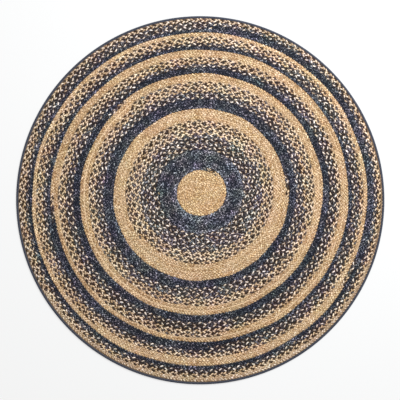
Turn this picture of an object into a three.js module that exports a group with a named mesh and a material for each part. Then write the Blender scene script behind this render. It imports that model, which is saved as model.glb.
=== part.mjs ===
// A round braided jute rug: one long three-strand plait coiled from the middle and sewn edge to
// edge into a flat disc, finished round the rim with a whipped binding.
// Millimetres, +Z up. The origin is the middle of the underside, on the floor.
import * as THREE from "three";

// The whole rug.
const rugDiameter = 1830;
const rugThickness = 9;

// The coil: its outermost row of plait has a rounded edge, like every row.
const plaitEdgeRadius = 3;

// The binding: a band of stitched yarn that holds the rim, flat under foot and round outside.
const bindingWidth = 11;
const bindingInnerRadius = 1;
const bindingOuterRadius = 4;

// What the solids need.
const seamGap = 0.3;
const facetsRound = 112;
const facetsPerCorner = 4;

const rimRadius = rugDiameter / 2;
const bindingSeatRadius = rimRadius - bindingWidth;
const coilRadius = bindingSeatRadius - seamGap;

const juteColour = 0xc39a68;
const bindingColour = 0x2f3442;

// A quarter-round corner of a profile, from one angle to the other in degrees, both ends included.
function corner(centreX, centreY, radius, fromDegrees, toDegrees) {
  const points = [];
  for (let step = 0; step <= facetsPerCorner; step += 1) {
    const part = step / facetsPerCorner;
    const angle = THREE.MathUtils.degToRad(fromDegrees + (toDegrees - fromDegrees) * part);
    const x = centreX + radius * Math.cos(angle);
    const y = centreY + radius * Math.sin(angle);
    points.push(new THREE.Vector2(x, y));
  }
  return points;
}

// Turns a profile of (radius, height) points round the vertical axis.
function turned(profile) {
  const geometry = new THREE.LatheGeometry(profile, facetsRound);
  geometry.rotateX(Math.PI / 2);
  return geometry;
}

// The sewn coil, one solid: level underside and top, and the last row's rounded edge.
function coilGeometry() {
  const edge = coilRadius - plaitEdgeRadius;
  return turned([
    new THREE.Vector2(0, 0),
    ...corner(edge, plaitEdgeRadius, plaitEdgeRadius, -90, 0),
    ...corner(edge, rugThickness - plaitEdgeRadius, plaitEdgeRadius, 0, 90),
    new THREE.Vector2(0, rugThickness),
  ]);
}

// The binding, one closed ring: nearly square corners against the coil, full corners outside.
function bindingGeometry() {
  const inner = bindingSeatRadius + bindingInnerRadius;
  const outer = rimRadius - bindingOuterRadius;
  const section = [
    ...corner(inner, bindingInnerRadius, bindingInnerRadius, 180, 270),
    ...corner(outer, bindingOuterRadius, bindingOuterRadius, -90, 0),
    ...corner(outer, rugThickness - bindingOuterRadius, bindingOuterRadius, 0, 90),
    ...corner(inner, rugThickness - bindingInnerRadius, bindingInnerRadius, 90, 180),
  ];
  section.push(section[0].clone());
  return turned(section);
}

function yarnMaterial(color) {
  return new THREE.MeshStandardMaterial({ color, roughness: 0.95, metalness: 0 });
}

function subPart(name, geometry, material) {
  const mesh = new THREE.Mesh(geometry, material);
  mesh.name = name;
  return mesh;
}

const rug = new THREE.Group();
rug.add(subPart("braided_coil", coilGeometry(), yarnMaterial(juteColour)));
rug.add(subPart("edge_binding", bindingGeometry(), yarnMaterial(bindingColour)));

export default rug;
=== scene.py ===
import math

import bmesh
import bpy
import numpy as np
from mathutils import Matrix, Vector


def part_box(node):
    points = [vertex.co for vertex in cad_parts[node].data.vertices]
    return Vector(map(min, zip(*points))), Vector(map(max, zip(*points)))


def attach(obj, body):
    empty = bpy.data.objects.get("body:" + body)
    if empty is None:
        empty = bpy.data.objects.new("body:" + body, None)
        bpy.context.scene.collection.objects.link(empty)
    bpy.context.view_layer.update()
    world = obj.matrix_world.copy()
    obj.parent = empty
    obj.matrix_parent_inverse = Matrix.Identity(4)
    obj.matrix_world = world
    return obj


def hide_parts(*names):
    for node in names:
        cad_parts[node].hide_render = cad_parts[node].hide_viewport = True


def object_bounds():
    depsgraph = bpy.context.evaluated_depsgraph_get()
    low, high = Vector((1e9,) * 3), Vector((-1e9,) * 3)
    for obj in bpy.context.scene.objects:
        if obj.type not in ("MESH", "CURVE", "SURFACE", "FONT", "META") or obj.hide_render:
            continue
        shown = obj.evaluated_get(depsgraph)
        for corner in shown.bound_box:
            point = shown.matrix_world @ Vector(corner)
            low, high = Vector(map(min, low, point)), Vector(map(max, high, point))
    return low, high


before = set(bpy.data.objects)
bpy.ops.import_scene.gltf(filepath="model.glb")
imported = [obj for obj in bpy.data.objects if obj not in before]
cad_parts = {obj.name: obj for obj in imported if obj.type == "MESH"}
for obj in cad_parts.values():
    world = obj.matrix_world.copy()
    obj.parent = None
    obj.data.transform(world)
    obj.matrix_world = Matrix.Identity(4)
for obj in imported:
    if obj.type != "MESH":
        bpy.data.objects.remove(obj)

cadLow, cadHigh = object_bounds()
rimRadius = (cadHigh.x - cadLow.x) / 2
rugThickness = cadHigh.z - cadLow.z
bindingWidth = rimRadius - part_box("braided_coil")[1].x
scene = bpy.context.scene
strandCount = 3
capGap = 1e-6  # a tube's caps are merged on within this
seamGap = 1e-5  # and spun seams within this, because rounding adds up
print("frame loaded: rug radius", round(rimRadius, 4), "thickness", round(rugThickness, 4))

# Camera, straight above. The rug's middle lies a little off the picture's middle.
cameraSetup = {
    "pictureSide": 400,  # pixels
    "pictureWidth": 1.984,  # metres across the picture at the rug's top
    "rugMiddle": (200.27, 200.26),  # pixels from the left and from the top
    "height": 6.0,
    "sensor": 36.0,
}


def addCamera(setup):
    side = setup["pictureSide"]
    perPixel = setup["pictureWidth"] / side
    middleX, middleY = setup["rugMiddle"]
    data = bpy.data.cameras.new("camera")
    data.sensor_width = setup["sensor"]
    data.lens = setup["sensor"] * (setup["height"] - rugThickness) / setup["pictureWidth"]
    camera = bpy.data.objects.new("camera", data)
    camera.location = (
        (side / 2 - middleX) * perPixel,
        (middleY - side / 2) * perPixel,
        setup["height"],
    )
    scene.collection.objects.link(camera)
    scene.camera = camera


addCamera(cameraSetup)
print("camera placed")

# How the coil lies. Its first turns sit off the rug's middle, and the rows even this out
# towards the rim, where they are a little oval.
coil = {
    "rowPitch": 0.01845,
    "firstTurn": -0.35,  # the plait's start is folded into the middle
    "lastTurn": 48.84,
    "taperTurns": 0.24,  # the plait's tail gets thin over this much of a turn
    "taperTo": 0.15,
    "stepsPerTurn": 360,
    "startUp": 0.0412,  # how far the first turns lie towards +Y
    "evenedAt": 0.96,  # the radius where that would be gone
    "drawnIn": {"by": 0.0032, "from": 0.45, "to": 0.75},  # the outer rows are sewn tighter
    "oval": {"middle": 0.0018, "rim": -0.0060},
    "skew": {"by": 0.0047, "to": 0.40},
    "wander": {"by": 0.0011, "fullFrom": 0.4},  # hand-sewn rows wander in and out, in waves
    "waves": [  # how many go round the rug, and how they turn with the radius
        {"round": 9, "turning": 23, "start": 0},
        {"round": 14, "turning": -31, "start": 1},
    ],
    "startRound": {"from": 0.02, "to": 0.09},  # the first turns lie round their own middle
    "fitFrom": 0.826,  # from this radius the rows are spread evenly up to the binding
    "seat": 0.0130,  # how far inside the rim the last row ends
    "seatUneven": {"by": 0.0017, "clock": 245},  # further inside at so many degrees from +Y
}

# The dye, by turns of the coil. In each ring the plait starts all navy, and one strand after
# another goes back to natural. "spacing" is how far out of even spacing the rows lie, in rows,
# where the ring starts, where its first strand goes back and where all have: plaits of other
# dye are a little thinner or thicker. At each change the strands are spliced one after
# another, "splices" metres apart. "deeper" is how much darker the ring's navy is.
dye = {
    "rings": [
        {"navyFrom": 5.95, "oneNatural": 11.21, "twoNatural": 15.85, "allNatural": 19.36,
         "spacing": (-0.18, -0.37, -0.31), "splices": 0.040, "deeper": 0.0},
        {"navyFrom": 22.78, "oneNatural": 25.44, "twoNatural": 27.74, "allNatural": 30.12,
         "spacing": (-0.03, -0.19, -0.25), "splices": 0.065, "deeper": 0.3},
        {"navyFrom": 32.12, "oneNatural": 34.07, "twoNatural": 35.91, "allNatural": 37.54,
         "spacing": (0.03, -0.19, -0.18), "splices": 0.065, "deeper": 0.7},
        {"navyFrom": 39.26, "oneNatural": 40.50, "twoNatural": 41.91, "allNatural": 43.40,
         "spacing": (0.00, 0.00, -0.06), "splices": 0.065, "deeper": 0.6},
        {"navyFrom": 44.68, "oneNatural": 45.98, "twoNatural": 47.19, "allNatural": 48.35,
         "spacing": (-0.02, -0.19, -0.30), "splices": 0.080, "deeper": 0.6},
    ],
    "startSpacing": -0.10,
    "spacingHeld": 0.9,  # turns for which it stays the same, before and after a ring starts
    "goesBack": ("oneNatural", "twoNatural", "allNatural"),  # where each strand does
    "stretches": [  # where all strands are paler or darker, from and to these turns
        {"from": -1.0, "to": 1.8, "paler": -0.2},
        {"from": 5.9, "to": 7.9, "paler": 0.6},
        {"from": 10.4, "to": 11.0, "paler": 1.0},
        {"from": 14.2, "to": 15.85, "paler": 1.1},
        {"from": 15.85, "to": 17.6, "paler": 2.0},
        {"from": 17.6, "to": 19.36, "paler": 0.4},
        {"from": 19.36, "to": 22.78, "paler": -0.5},
        {"from": 27.9, "to": 29.0, "paler": 0.7},
        {"from": 30.12, "to": 32.12, "paler": -0.7},
        {"from": 37.54, "to": 39.26, "paler": -0.9},
        {"from": 43.40, "to": 44.68, "paler": 0.2},
        {"from": 47.84, "to": 48.84, "paler": -0.7},
    ],
    "bath": {"stretch": 0.8, "paler": 0.42, "seed": 5},  # navy hanks differ, metre by metre
    "golden": {"middle": 1.0, "uneven": 0.5, "steps": 10},  # how ripe the natural jute is
    "bindingDust": 0.8,
}


def ramp(value, start, end):
    return np.clip((value - start) / (end - start), 0, 1)


def startUp(radius):
    return coil["startUp"] * (1 - (radius / coil["evenedAt"]) ** 2)


def wandered(radius, clock):
    # clock is the angle from +Y, clockwise seen from above
    tight, oval, skew = coil["drawnIn"], coil["oval"], coil["skew"]
    up = startUp(radius)
    inwards = tight["by"] * ramp(radius, tight["from"], tight["to"])
    oval = oval["middle"] + (oval["rim"] - oval["middle"]) * radius / rimRadius
    skew = skew["by"] * ramp(radius, 0, skew["to"])
    wander = sum(
        np.sin(wave["round"] * clock + wave["turning"] * radius + wave["start"])
        for wave in coil["waves"]
    )
    wander = coil["wander"]["by"] * wander * ramp(radius, 0, coil["wander"]["fullFrom"])
    sideways = up * np.cos(clock) + oval * np.cos(2 * clock) + skew * np.sin(2 * clock)
    return radius - inwards + sideways + wander


def drifted(radius, clock):
    # the radius at which a spot of an even coil really lies
    lastTurn = coil["lastTurn"] - np.mod(coil["lastTurn"] + clock / (2 * math.pi), 1)
    lastEdge = coil["rowPitch"] * (lastTurn + spacing(lastTurn) + tailShare(lastTurn))
    start = wandered(coil["fitFrom"], clock)
    share = (radius - coil["fitFrom"]) / (lastEdge - coil["fitFrom"])
    uneven = coil["seatUneven"]
    seat = coil["seat"] + uneven["by"] * np.cos(clock - math.radians(uneven["clock"]))
    fitted = start + (rimRadius - seat - start) * share
    return np.where(radius > coil["fitFrom"], fitted, wandered(radius, clock))


def placed(radius, clock):
    # where a spot of an even coil really lies, across the rug
    early = 1 - ramp(radius, coil["startRound"]["from"], coil["startRound"]["to"])
    out = drifted(radius, clock)
    x, y = out * np.sin(clock), out * np.cos(clock)
    roundX, roundY = radius * np.sin(clock), radius * np.cos(clock) + startUp(radius)
    return x + early * (roundX - x), y + early * (roundY - y)


def spacing(turn):
    # how far out of even spacing a row lies, in rows
    turns, shares = [0.0], [dye["startSpacing"]]
    for ring in dye["rings"]:
        atNavy, atOneNatural, atAllNatural = ring["spacing"]
        turns += [ring["navyFrom"] - dye["spacingHeld"], ring["navyFrom"] + dye["spacingHeld"]]
        turns += [ring["oneNatural"], ring["allNatural"]]
        shares += [atNavy, atNavy, atOneNatural, atAllNatural]
    return np.interp(turn, turns, shares)


def tailShare(turn):
    # how wide the plait still is, 1 for all of it but the tail
    tail = ramp(turn, coil["lastTurn"] - coil["taperTurns"], coil["lastTurn"])
    return 1 - (1 - coil["taperTo"]) * tail


def coilLine():
    # the plait's middle, step by step: the turn, the radius in an even coil, the metres so far
    first, last = coil["firstTurn"], coil["lastTurn"]
    turn = np.linspace(first, last, int((last - first) * coil["stepsPerTurn"]))
    clock = -2 * math.pi * turn
    rows = turn + spacing(turn) + 0.5 * tailShare(turn)
    x, y = placed(coil["rowPitch"] * rows, clock)
    length = np.concatenate([[0], np.cumsum(np.hypot(np.diff(x), np.diff(y)))])
    return {"turn": turn, "flat": coil["rowPitch"] * rows, "length": length}


line = coilLine()
plaitLength = float(line["length"][-1])
print("coil laid out:", round(plaitLength, 1), "m of plait")


def turnOf(length):
    return np.interp(length, line["length"], line["turn"])


def navyShare(strand, length):
    # 1 where this strand is navy and 0 where it is natural
    navy = np.zeros_like(length)
    for ring in dye["rings"]:
        turnAt = turnOf(length + ring["splices"] * (strand - 1))
        navy[(turnAt >= ring["navyFrom"]) & (turnAt < ring[dye["goesBack"][strand]])] = 1
    return navy


def dyeTone(length, deepNavy):
    # above 0 where the strands are paler; deepNavy is how much of a ring's depth a strand has
    turnAt = turnOf(length)
    tone = np.zeros_like(length)
    for stretch in dye["stretches"]:
        tone[(turnAt > stretch["from"]) & (turnAt < stretch["to"])] = stretch["paler"]
    deeper = np.zeros_like(length)
    for ring in dye["rings"]:
        deeper[turnAt >= ring["navyFrom"]] = ring["deeper"]
    return tone - deepNavy * deeper


def bathTone(length):
    # the same for all strands, so that whole stretches of a navy row are paler or deeper
    bath = dye["bath"]
    ends = np.arange(0, plaitLength + bath["stretch"], bath["stretch"])
    tones = bath["paler"] * np.random.default_rng(bath["seed"]).normal(size=len(ends))
    return np.interp(length, ends, tones)


def goldenShare(length, random):
    # the natural jute is riper in the middle of the rug, and in stretches elsewhere
    golden = dye["golden"]
    middle = np.where(turnOf(length) < dye["rings"][0]["navyFrom"], golden["middle"], 0.0)
    return middle + golden["uneven"] * smoothNoise(random, len(length), golden["steps"])


def besideBinding(length):
    # the last row is dusted by the navy binding
    return np.where(turnOf(length) > coil["lastTurn"] - 1, dye["bindingDust"], 0.0)


# One strand of the plait swings from side to side, and goes over and under twice as often.
plait = {
    "period": 0.049,  # metres of plait until a strand is back where it was
    "stepsPerPeriod": 8,
    "strandWidth": 0.0096,
    "strandThickness": 0.0054,
    "overlap": 0.0040,  # how far the strands of one row press into the next
    "naturalBesideNavy": {"thinner": 0.16, "paler": 2.2},
    "navyBesideNatural": {"thinner": -0.06, "paler": -0.3},
    "stretch": 0.0035,  # loose and tight stretches of plaiting, in waves this long a radian
    "waves": [{"long": 0.10, "start": 0}, {"long": 0.061, "start": 2}],
    "uneven": {  # how much these vary along a strand, and over how many steps
        "side": (0.0004, 3),
        "lift": (0.00030, 3),
        "width": (0.08, 4),
        "tone": (0.8, 3),
        "longTone": (0.5, 24),
    },
    "crowned": 1.12,  # the crowns would rise this much higher, and are pressed flat
    "sides": 6,  # of each strand's tube
    "patternApart": 200,  # metres between the strands' stretches of fibre pattern
    "seed": 7,
}


def smoothNoise(random, count, every):
    # count values that run evenly from one random knot to the next, "every" steps on
    knots = random.normal(size=count // every + 3)
    return np.interp(np.arange(count) / every, np.arange(len(knots)), knots)


def alongCoil(length, side):
    flat = np.interp(length, line["length"], line["flat"])
    return placed(flat + side, -2 * math.pi * turnOf(length))


def besideOthers(strand, length):
    # the strand's own dye, and what share of the others is dyed the other way
    dyed = [navyShare(other, length) for other in range(strandCount)]
    navy = dyed[strand]
    besideNavy = (1 - navy) * (sum(dyed) - navy) / (strandCount - 1)
    besideNatural = navy * (strandCount - sum(dyed)) / (strandCount - 1)
    return navy, besideNavy, besideNatural


def layStrand(strand, random):
    steps, period = plait["stepsPerPeriod"], plait["period"]
    count = int(plaitLength / period) * steps

    def uneven(name):
        by, every = plait["uneven"][name]
        return by * smoothNoise(random, count, every)

    rounds = (np.arange(count) + 0.5) / steps
    even = period * (rounds - strand / strandCount)
    stretch = sum(np.sin(even / wave["long"] + wave["start"]) for wave in plait["waves"])
    length = np.clip(even + plait["stretch"] * stretch, 0, plaitLength)
    swing = (coil["rowPitch"] + plait["overlap"] - plait["strandWidth"]) / 2
    rise = (rugThickness - plait["strandThickness"]) / 2
    phase = 2 * math.pi * rounds
    side = swing * np.sin(phase) + uneven("side")
    lift = rise * np.sin(2 * phase) + uneven("lift")
    width = plait["strandWidth"] * (1 + uneven("width"))
    tone = uneven("tone") + uneven("longTone")
    navy, besideNavy, besideNatural = besideOthers(strand, length)
    for beside, change in (
        (besideNavy, plait["naturalBesideNavy"]),
        (besideNatural, plait["navyBesideNatural"]),
    ):
        width = width * (1 - change["thinner"] * beside)
        tone = tone + change["paler"] * beside
    tail = tailShare(turnOf(length))
    x, y = alongCoil(length, tail * side)
    run = {
        "x": x,
        "y": y,
        "z": lift * plait["strandWidth"] / plait["strandThickness"],  # pressed flat later
        "width": tail * width,
        "length": length,
        "along": length + plait["patternApart"] * strand,
        "navy": navy,
        "tone": tone + dyeTone(length, navy - besideNatural) + navy * bathTone(length),
        "beside": np.maximum(besideNavy + besideNatural, besideBinding(length)),
        "golden": goldenShare(length, random),
    }
    keep = np.concatenate([[True], np.diff(length) > 0])  # one point only at a clipped end
    return {name: values[keep] for name, values in run.items()}


strandRandom = np.random.default_rng(plait["seed"])
strands = [layStrand(strand, strandRandom) for strand in range(strandCount)]
print("strands laid out:", sum(len(run["x"]) for run in strands), "points")


def tubeMesh(name, runs, sides):
    curve = bpy.data.curves.new(name, "CURVE")
    curve.dimensions = "3D"
    curve.twist_mode = "Z_UP"
    curve.bevel_depth = 1.0  # so that each point's radius is the tube's own
    curve.bevel_resolution = (sides - 4) // 2
    curve.use_fill_caps = True
    for run in runs:
        spline = curve.splines.new("POLY")
        spline.points.add(len(run["x"]) - 1)
        places = np.stack([run["x"], run["y"], run["z"], np.ones(len(run["x"]))], axis=1)
        spline.points.foreach_set("co", places.ravel())
        spline.points.foreach_set("radius", run["width"] / 2)
    holder = bpy.data.objects.new(name, curve)
    mesh = bpy.data.meshes.new_from_object(holder)
    bpy.data.objects.remove(holder)
    bpy.data.curves.remove(curve)
    mesh.name = name
    return mesh


def tubeOrder(runs, sides):
    # for each tube vertex, the number of its point and of its side; a tube's caps come first
    points, spokes = [], []
    start = 0
    for run in runs:
        count = len(run["x"])
        points += [np.full(sides, start + count - 1), np.full(sides, start)]
        points.append(start + np.repeat(np.arange(count), sides))
        spokes.append(np.tile(np.arange(sides), count + 2))
        start += count
    return np.concatenate(points), np.concatenate(spokes)


def mapTubes(mesh, runs, sides):
    # a map of the metres along each strand and the share of the way round it
    points, spokes = tubeOrder(runs, sides)
    corners = np.zeros(len(mesh.loops), np.int32)
    mesh.loops.foreach_get("vertex_index", corners)
    sizes = np.zeros(len(mesh.polygons), np.int32)
    mesh.polygons.foreach_get("loop_total", sizes)
    face = np.repeat(np.arange(len(sizes)), sizes)
    around = spokes[corners].astype(float)
    closes = np.zeros(len(sizes), bool)
    closes[face[around == sides - 1]] = True  # faces that close the way round the tube
    around[(around == 0) & closes[face]] = sides
    along = np.concatenate([run["along"] for run in runs])[points][corners]
    strandMap = mesh.uv_layers[0]
    strandMap.name = "strandMap"
    strandMap.data.foreach_set(
        "uv", np.stack([along, around / sides], axis=1).astype(np.float32).ravel()
    )


def addAttribute(mesh, name, values):
    made = mesh.attributes.new(name, "FLOAT", "POINT")
    made.data.foreach_set("value", values.astype(np.float32))


def dyeTubes(mesh, runs, sides):
    points, _ = tubeOrder(runs, sides)
    for name in ("navy", "tone", "beside", "golden"):
        addAttribute(mesh, name, np.concatenate([run[name] for run in runs])[points])


def vertexPlaces(mesh):
    places = np.zeros(len(mesh.vertices) * 3)
    mesh.vertices.foreach_get("co", places)
    return places


def pressPlait(mesh):
    # the strands are pressed to the rug's thickness
    places = vertexPlaces(mesh)
    flat = plait["crowned"] * plait["strandThickness"] / plait["strandWidth"]
    places[2::3] = np.clip(places[2::3] * flat + rugThickness / 2, 0, rugThickness)
    mesh.vertices.foreach_set("co", places)


def asPiece(name, mesh, mat):
    work = bmesh.new()
    work.from_mesh(mesh)
    bmesh.ops.remove_doubles(work, verts=work.verts, dist=capGap)
    work.to_mesh(mesh)
    work.free()
    mesh.shade_smooth()
    mesh.materials.append(mat)
    piece = bpy.data.objects.new(name, mesh)
    scene.collection.objects.link(piece)
    return piece


# Materials. These make nodes and links.
def addNode(tree, kind, **settings):
    made = tree.nodes.new("ShaderNode" + kind)
    for name, value in settings.items():
        setattr(made, name, value)
    return made


def join(tree, *ends):
    for start, end in zip(ends[::2], ends[1::2]):
        tree.links.new(start, end)


def math2(tree, operation, first, second=None):
    made = addNode(tree, "Math", operation=operation)
    for socket, value in zip(made.inputs, (first, second)):
        if isinstance(value, (int, float)):
            socket.default_value = value
        elif value is not None:
            tree.links.new(value, socket)
    return made.outputs[0]


def addNoise(tree, place, look):
    noise = addNode(tree, "TexNoise")
    for name in ("Scale", "Detail", "Roughness"):
        noise.inputs[name].default_value = look[name.lower()]
    join(tree, place, noise.inputs["Vector"])
    return noise


def objectPlace(tree):
    return addNode(tree, "TexCoord").outputs["Object"]


def newGroup(name, inputs, outputs):
    group = bpy.data.node_groups.new(name, "ShaderNodeTree")
    for way, sockets in (("INPUT", inputs), ("OUTPUT", outputs)):
        for socket in sockets:
            group.interface.new_socket(socket, in_out=way, socket_type="NodeSocketFloat")
    given = group.nodes.new("NodeGroupInput").outputs
    out = group.nodes.new("NodeGroupOutput").inputs
    return group, given, out


# Spun fibre: streaks along a strand, patches where it catches the light, and its yarns' relief.
# "perMetre" is how fast a pattern runs on along the strand; round it, the radius counts as 1.
spunFibre = {
    "streaks": {"perMetre": 14.0, "scale": 3.2, "detail": 3.0, "roughness": 0.65},
    "patches": {"perMetre": 210.0, "scale": 1.0, "detail": 1.0, "roughness": 0.5},
    "yarnHeight": 0.5,
    "streakHeight": 1.2,
}


def tubePattern(tree, look, along, angle, axes):
    # noise that closes round the strand; "axes" are two across it and the one along it
    place = addNode(tree, "CombineXYZ")
    join(
        tree,
        math2(tree, "COSINE", angle), place.inputs[axes[0]],
        math2(tree, "SINE", angle), place.inputs[axes[1]],
        math2(tree, "MULTIPLY", along, look["perMetre"]), place.inputs[axes[2]],
    )
    return addNoise(tree, place.outputs[0], look).outputs[0]


def spunFibreGroup(look):
    # "Yarns" is how many yarns show round a strand, and "Lay" how often they turn in a metre
    group, given, out = newGroup(
        "spunFibre", ["Yarns", "Lay"], ["Streaks", "Patches", "Relief"]
    )
    place = addNode(group, "SeparateXYZ")
    join(group, addNode(group, "UVMap", uv_map="strandMap").outputs[0], place.inputs[0])
    along = place.outputs["X"]
    angle = math2(group, "MULTIPLY", place.outputs["Y"], 2 * math.pi)
    streaks = tubePattern(group, look["streaks"], along, angle, "XYZ")
    patches = tubePattern(group, look["patches"], along, angle, "YZX")
    turns = math2(group, "MULTIPLY", along, given["Lay"])
    twist = math2(
        group, "ADD",
        math2(group, "MULTIPLY", angle, given["Yarns"]),
        math2(group, "MULTIPLY", turns, 2 * math.pi),
    )
    relief = math2(
        group, "ADD",
        math2(group, "MULTIPLY", math2(group, "SINE", twist), look["yarnHeight"]),
        math2(group, "MULTIPLY", streaks, look["streakHeight"]),
    )
    join(group, streaks, out["Streaks"], patches, out["Patches"], relief, out["Relief"])
    return group


fibreGroup = spunFibreGroup(spunFibre)


def placeFibre(tree, look):
    fibre = addNode(tree, "Group", node_tree=fibreGroup)
    fibre.inputs["Yarns"].default_value = look["yarns"]
    fibre.inputs["Lay"].default_value = look["lay"]
    return fibre


def blend(tree, share, first, second, kind="MIX"):
    made = addNode(tree, "Mix", data_type="RGBA", blend_type=kind)
    for number, value in ((0, share), (6, first), (7, second)):  # its factor, A and B
        socket = made.inputs[number]
        if isinstance(value, (int, float)):
            socket.default_value = value
        elif isinstance(value, tuple):
            socket.default_value = (*value, 1)
        else:
            tree.links.new(value, socket)
    return made.outputs[2]


def spread(tree, value, between, onto=(0, 1)):
    made = addNode(tree, "MapRange")
    join(tree, value, made.inputs["Value"])
    made.inputs["From Min"].default_value, made.inputs["From Max"].default_value = between
    made.inputs["To Min"].default_value, made.inputs["To Max"].default_value = onto
    return made.outputs[0]


def newMaterial(name, rough, gloss):
    mat = bpy.data.materials.new(name)
    mat.use_nodes = True
    shader = mat.node_tree.nodes["Principled BSDF"]
    shader.inputs["Roughness"].default_value = rough
    shader.inputs["Specular IOR Level"].default_value = gloss
    return mat, mat.node_tree, shader


reliefStrength = 0.6


def reliefBump(tree, shader, height, distance):
    bump = addNode(tree, "Bump")
    bump.inputs["Distance"].default_value = distance
    bump.inputs["Strength"].default_value = reliefStrength
    join(tree, height, bump.inputs["Height"], bump.outputs[0], shader.inputs["Normal"])


juteLook = {
    "tan": (0.60, 0.40, 0.212),
    "tanPale": (0.84, 0.67, 0.49),
    "tanDeep": (0.21, 0.110, 0.046),
    # the colour of the painted shade down between natural strands
    "tanRecessShade": (0.15, 0.070, 0.025),
    "web": (0.50, 0.33, 0.175),
    "webPale": (0.72, 0.54, 0.36),
    "navy": (0.010, 0.013, 0.026),
    "navyDeep": (0.002, 0.003, 0.007),
    # pale worn fibres, and a painted sheen highlight, on the navy strands
    "navyWearAndSheen": (0.48, 0.47, 0.53),
    "golden": (1.0, 0.96, 0.83),
    "dusted": (1.02, 1.18, 1.56),  # natural strands lose their gold beside navy ones
    "navyRubbed": (0.042, 0.023, 0.012),  # and navy strands turn brown beside natural ones
    # deep navy beside natural strands, also the colour of the painted shade between the strands
    # there
    "deepRubbedAndShade": (0.022, 0.010, 0.004),
    # streaks and patches make the fibre's tone, from 0 for deep to 1 for pale
    "streaks": (0.35, 0.65),
    "patches": (0.36, 0.64),
    "streakShare": 0.35,  # the rest is patches
    "toneShare": 0.10,  # how far each strand's own tone moves it
    # where in the tone each colour sets in, and where it is full
    "pale": (0.45, 0.85),
    "deep": (0.5, 0.1),
    "wearAndSheen": (0.55, 1.0),
    "wearAndSheenBeside": 0.35,  # how much of the wear and painted sheen shows beside natural strands
    # how dark the painted shade down between the strands gets, and where it sets in and is full
    "recessShade": 0.85,
    "recessShadeFrom": 0.93,  # of the way up from the middle of the thickness
    "recessShadeTo": 0.50,
    "cast": {  # patches of another cast, and how much of it natural and navy strands take
        "scale": 1 / 0.07, "detail": 3, "roughness": 0.5, "natural": 0.10, "navy": 0.34,
    },
    "yarns": 6,
    "lay": 40,
    "roughness": 0.85,
    "gloss": 0.25,
    "relief": 0.0012,
}


def attribute(tree, name):
    return addNode(tree, "Attribute", attribute_name=name).outputs["Fac"]


def recessShadeMask(tree, look):
    # painted shade: 1 down between the strands, on either face of the rug, and 0 on top of them
    place = addNode(tree, "SeparateXYZ")
    join(tree, objectPlace(tree), place.inputs[0])
    height = math2(tree, "SUBTRACT", place.outputs["Z"], rugThickness / 2)
    height = math2(tree, "ABSOLUTE", height)
    height = math2(tree, "DIVIDE", height, rugThickness / 2)
    ends = (look["recessShadeFrom"], look["recessShadeTo"])
    return spread(tree, height, ends, (0, look["recessShade"]))


def tinted(tree, share, color, tint):
    return blend(tree, share, color, blend(tree, 1, color, tint, "MULTIPLY"))


def castPatches(tree, look, navy, color):
    # dye and sun leave some patches a little redder, greener or bluer than others
    noise = addNoise(tree, objectPlace(tree), look)
    cast = blend(tree, 1, noise.outputs["Color"], (2, 2, 2), "MULTIPLY")  # around 1
    share = spread(tree, navy, (0, 1), (look["natural"], look["navy"]))
    return blend(tree, share, color, cast, "MULTIPLY")


def juteTone(tree, look):
    fibre = placeFibre(tree, look)
    streaks = spread(tree, fibre.outputs["Streaks"], look["streaks"])
    patches = spread(tree, fibre.outputs["Patches"], look["patches"])
    mixed = math2(
        tree, "ADD",
        math2(tree, "MULTIPLY", streaks, look["streakShare"]),
        math2(tree, "MULTIPLY", patches, 1 - look["streakShare"]),
    )
    own = math2(tree, "MULTIPLY", attribute(tree, "tone"), look["toneShare"])
    return math2(tree, "ADD", mixed, own), fibre.outputs["Relief"]


def naturalColor(tree, look, mixed, recessShade, beside):
    color = blend(tree, spread(tree, mixed, look["pale"]), look["tan"], look["tanPale"])
    color = blend(tree, spread(tree, mixed, look["deep"]), color, look["tanDeep"])
    # painted shade down between the strands
    color = blend(tree, recessShade, color, look["tanRecessShade"])
    color = tinted(tree, attribute(tree, "golden"), color, look["golden"])
    return tinted(tree, math2(tree, "MULTIPLY", beside, beside), color, look["dusted"])


def navyColor(tree, look, mixed, recessShade, beside):
    wearAndSheen = math2(
        tree, "MULTIPLY", spread(tree, mixed, look["wearAndSheen"]),
        spread(tree, beside, (0, 1), (1, look["wearAndSheenBeside"])),
    )
    deep = blend(tree, beside, look["navyDeep"], look["deepRubbedAndShade"])
    color = blend(tree, beside, look["navy"], look["navyRubbed"])
    # pale worn fibres and a painted sheen highlight
    color = blend(tree, wearAndSheen, color, look["navyWearAndSheen"])
    color = blend(tree, spread(tree, mixed, look["deep"]), color, deep)
    # painted shade down between the strands, in deep navy, browner beside natural strands
    return blend(tree, recessShade, color, deep)


def juteMaterial(look):
    mat, tree, shader = newMaterial("dyedJute", look["roughness"], look["gloss"])
    mixed, relief = juteTone(tree, look)
    recessShade = recessShadeMask(tree, look)
    beside = attribute(tree, "beside")
    natural = naturalColor(tree, look, mixed, recessShade, beside)
    navy = navyColor(tree, look, mixed, recessShade, beside)
    isNavy = attribute(tree, "navy")
    color = castPatches(tree, look["cast"], isNavy, blend(tree, isNavy, natural, navy))
    join(tree, color, shader.inputs["Base Color"])
    reliefBump(tree, shader, relief, look["relief"])
    return mat


dyedJute = juteMaterial(juteLook)
print("jute material made")


# The plait, a piece for the middle and one for each ring
def plaitPiece(name, startTurn, endTurn):
    start, end = np.interp([startTurn, endTurn], line["turn"], line["length"])
    runs = []
    for run in strands:
        first, last = np.searchsorted(run["length"], (start, end))
        runs.append({key: values[first : last + 1] for key, values in run.items()})
    mesh = tubeMesh(name, runs, plait["sides"])
    mapTubes(mesh, runs, plait["sides"])
    dyeTubes(mesh, runs, plait["sides"])
    pressPlait(mesh)
    return asPiece(name, mesh, dyedJute)


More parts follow.
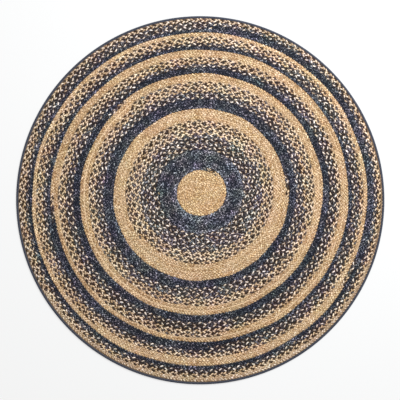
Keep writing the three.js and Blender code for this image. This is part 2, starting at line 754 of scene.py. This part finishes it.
cuts = [coil["firstTurn"], *(ring["navyFrom"] for ring in dye["rings"]), coil["lastTurn"]]
plaits = [
    plaitPiece("plait_ring_%d" % number if number else "plait_middle", start, end)
    for number, (start, end) in enumerate(zip(cuts, cuts[1:]))
]
print("plait made:", [2 * len(piece.data.polygons) for piece in plaits], "triangles")

# Between the rows: sewing thread and fibre, seen only deep in the gaps, in the rows' colours,
# and navy where any strand of the row is, partly as painted shade in the gaps
web = {
    "thickness": 0.0030,
    "halfRows": 98,
    "sides": 96,
    "navyRim": {"wide": 0.0150, "share": 0.8},  # beside the binding it is mostly navy
    "rowTries": 3,
    "fibre": {"scale": 260, "detail": 3, "roughness": 0.5},
    "roughness": 0.95,
    "relief": 0.001,
}


def spinRound(work, place, steps):
    # stands a flat loop upright at its place and spins it round the rug's middle
    turnUp = Matrix.Rotation(math.radians(90), 3, "X")
    bmesh.ops.rotate(work, verts=work.verts, cent=(0, 0, 0), matrix=turnUp)
    bmesh.ops.translate(work, verts=work.verts, vec=place)
    bmesh.ops.spin(
        work, geom=work.verts[:] + work.edges[:], cent=(0, 0, 0), axis=(0, 0, 1),
        angle=2 * math.pi, steps=steps, use_merge=True,
    )
    bmesh.ops.remove_doubles(work, verts=work.verts, dist=seamGap)
    bmesh.ops.recalc_face_normals(work, faces=work.faces)


def webMesh():
    # the outline of a thin strip from the middle to the rim, spun all round
    work = bmesh.new()
    bmesh.ops.create_grid(work, x_segments=web["halfRows"], y_segments=1, size=0.5)
    inside = [edge for edge in work.edges if not edge.is_boundary]
    bmesh.ops.delete(work, geom=work.faces[:], context="FACES_ONLY")
    bmesh.ops.delete(work, geom=inside, context="EDGES")
    bmesh.ops.translate(work, verts=work.verts, vec=(0.5, 0, 0))
    reach = rimRadius - bindingWidth / 2
    bmesh.ops.scale(work, verts=work.verts, vec=(reach, web["thickness"], 1))
    spinRound(work, (0, 0, rugThickness / 2), web["sides"])
    mesh = bpy.data.meshes.new("row_web")
    work.to_mesh(mesh)
    work.free()
    return mesh


def markWeb(mesh):
    # each place takes the dye of the row whose middle is nearest, navy where any of its strands
    # is navy, which darkens the gaps as painted shade
    places = vertexPlaces(mesh)
    x, y = places[0::3], places[1::3]
    radius, clock = np.hypot(x, y), np.arctan2(x, y)
    flat = radius
    for _ in range(web["rowTries"]):  # closes in on where this place lies in an even coil
        flat = radius - (drifted(flat, clock) - flat)
    rows = flat / coil["rowPitch"]
    turnAt = np.round(rows - 0.5 - spacing(rows - 0.5) + clock / (2 * math.pi))
    turnAt = turnAt - clock / (2 * math.pi)
    length = np.interp(turnAt, line["turn"], line["length"])
    dyed = [navyShare(strand, length) for strand in range(strandCount)]
    anyNavyShade, allNavy = np.maximum.reduce(dyed), np.minimum.reduce(dyed)
    anyNavyShade[radius > rimRadius - web["navyRim"]["wide"]] = web["navyRim"]["share"]
    addAttribute(mesh, "navy", anyNavyShade)
    addAttribute(mesh, "beside", anyNavyShade - allNavy)


def webMaterial(look):
    mat, tree, shader = newMaterial("webThread", web["roughness"], look["gloss"])
    fibre = addNoise(tree, objectPlace(tree), web["fibre"]).outputs[0]
    natural = blend(tree, fibre, look["web"], look["webPale"])
    navy = blend(tree, fibre, look["navyDeep"], look["navy"])
    navy = blend(tree, attribute(tree, "beside"), navy, look["deepRubbedAndShade"])
    color = blend(tree, attribute(tree, "navy"), natural, navy)
    join(tree, color, shader.inputs["Base Color"])
    reliefBump(tree, shader, fibre, web["relief"])
    return mat


webDisc = webMesh()
markWeb(webDisc)
rowWeb = asPiece("row_web", webDisc, webMaterial(juteLook))
print("web made:", len(webDisc.polygons), "faces")

# The binding: navy yarn stitched over the rim, turn beside turn, on an under-layer of the same
binding = {
    "stitches": 1150,
    "stepsPerStitch": 8,
    "reach": 0.0135,  # from the rim over the last row
    "yarn": 0.0044,
    "yarnPerStitch": 0.03,  # metres of fibre pattern
    "sides": 6,
    "underLayer": {"narrower": 0.0013, "sides": 12, "steps": 240},
}


def bindingRun():
    count = binding["stitches"] * binding["stepsPerStitch"]
    step = np.arange(count + 1) / binding["stepsPerStitch"]
    turn = 2 * math.pi * (step + 0.5 / binding["stepsPerStitch"])
    way = 2 * math.pi * step / binding["stitches"]
    halfWide = (binding["reach"] - binding["yarn"]) / 2
    halfHigh = (rugThickness - binding["yarn"]) / 2
    radius = rimRadius - binding["reach"] / 2 + halfWide * np.cos(turn)
    return {
        "x": radius * np.sin(way),
        "y": radius * np.cos(way),
        "z": rugThickness / 2 + halfHigh * np.sin(turn),
        "width": np.full(count + 1, binding["yarn"]),
        "along": step * binding["yarnPerStitch"],
    }


def addUnderLayer(mesh):
    under = binding["underLayer"]
    wide = binding["reach"] / 2 - under["narrower"]
    high = rugThickness / 2 - under["narrower"]
    work = bmesh.new()
    bmesh.ops.create_circle(work, segments=under["sides"], radius=1)
    bmesh.ops.scale(work, verts=work.verts, vec=(wide, high, 1))
    spinRound(work, (rimRadius - binding["reach"] / 2, 0, rugThickness / 2), under["steps"])
    work.from_mesh(mesh)
    work.to_mesh(mesh)
    work.free()


bindingLook = {
    "navy": (0.026, 0.030, 0.046),
    "wornNavy": (0.070, 0.076, 0.100),
    "wearAndSheen": (0.45, 0.75),  # from where to where in the streaks the wear sets in
    "yarns": 3,
    "lay": 220,
    "roughness": 0.8,
    "gloss": 0.3,
    "relief": 0.0004,
}


def bindingMaterial(look):
    mat, tree, shader = newMaterial("bindingYarn", look["roughness"], look["gloss"])
    fibre = placeFibre(tree, look)
    wearAndSheen = spread(tree, fibre.outputs["Streaks"], look["wearAndSheen"])
    join(tree, blend(tree, wearAndSheen, look["navy"], look["wornNavy"]), shader.inputs["Base Color"])
    reliefBump(tree, shader, fibre.outputs["Relief"], look["relief"])
    return mat


bindingRuns = [bindingRun()]
bindingMesh = tubeMesh("rim_binding", bindingRuns, binding["sides"])
mapTubes(bindingMesh, bindingRuns, binding["sides"])
addUnderLayer(bindingMesh)
rimBinding = asPiece("rim_binding", bindingMesh, bindingMaterial(bindingLook))
print("binding made:", 2 * len(bindingMesh.polygons), "triangles")

for piece in [*plaits, rowWeb]:
    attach(piece, "root")
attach(rimBinding, "root")
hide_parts("braided_coil")
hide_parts("edge_binding")

# Floor and light
studio = {
    "floorSide": 60.0,
    "floorColor": (0.18, 0.18, 0.18),
    "floorRoughness": 0.9,
    "floorGloss": 0.2,
    "floorGlow": 0.675,  # keeps the floor evenly pale
    "sky": 0.53,
    "skyColor": (1.0, 0.985, 0.96),
    "lampPlace": (1.85, 2.6, 3.5),
    "lampSize": 2.5,
    "lampPower": 396.0,
    "lampColor": (0.95, 0.98, 1.0),
}


def addStudio(setup):
    work = bmesh.new()
    bmesh.ops.create_grid(work, x_segments=1, y_segments=1, size=setup["floorSide"] / 2)
    mesh = bpy.data.meshes.new("floor")
    work.to_mesh(mesh)
    work.free()
    mat, _, shader = newMaterial("floorPaint", setup["floorRoughness"], setup["floorGloss"])
    shader.inputs["Base Color"].default_value = (*setup["floorColor"], 1)
    shader.inputs["Emission Color"].default_value = (1, 1, 1, 1)
    shader.inputs["Emission Strength"].default_value = setup["floorGlow"]
    mesh.materials.append(mat)
    floor = bpy.data.objects.new("floor", mesh)
    scene.collection.objects.link(floor)
    world = bpy.data.worlds.new("studio")
    world.use_nodes = True
    world.node_tree.nodes["Background"].inputs["Color"].default_value = (*setup["skyColor"], 1)
    world.node_tree.nodes["Background"].inputs["Strength"].default_value = setup["sky"]
    scene.world = world
    lamp = bpy.data.lights.new("softbox", "AREA")
    lamp.energy = setup["lampPower"]
    lamp.color = setup["lampColor"]
    lamp.size = setup["lampSize"]
    holder = bpy.data.objects.new("softbox", lamp)
    holder.location = setup["lampPlace"]
    holder.rotation_euler = (-holder.location).to_track_quat("-Z", "Y").to_euler()
    scene.collection.objects.link(holder)


addStudio(studio)
scene.view_settings.view_transform = "Standard"
print("studio made")
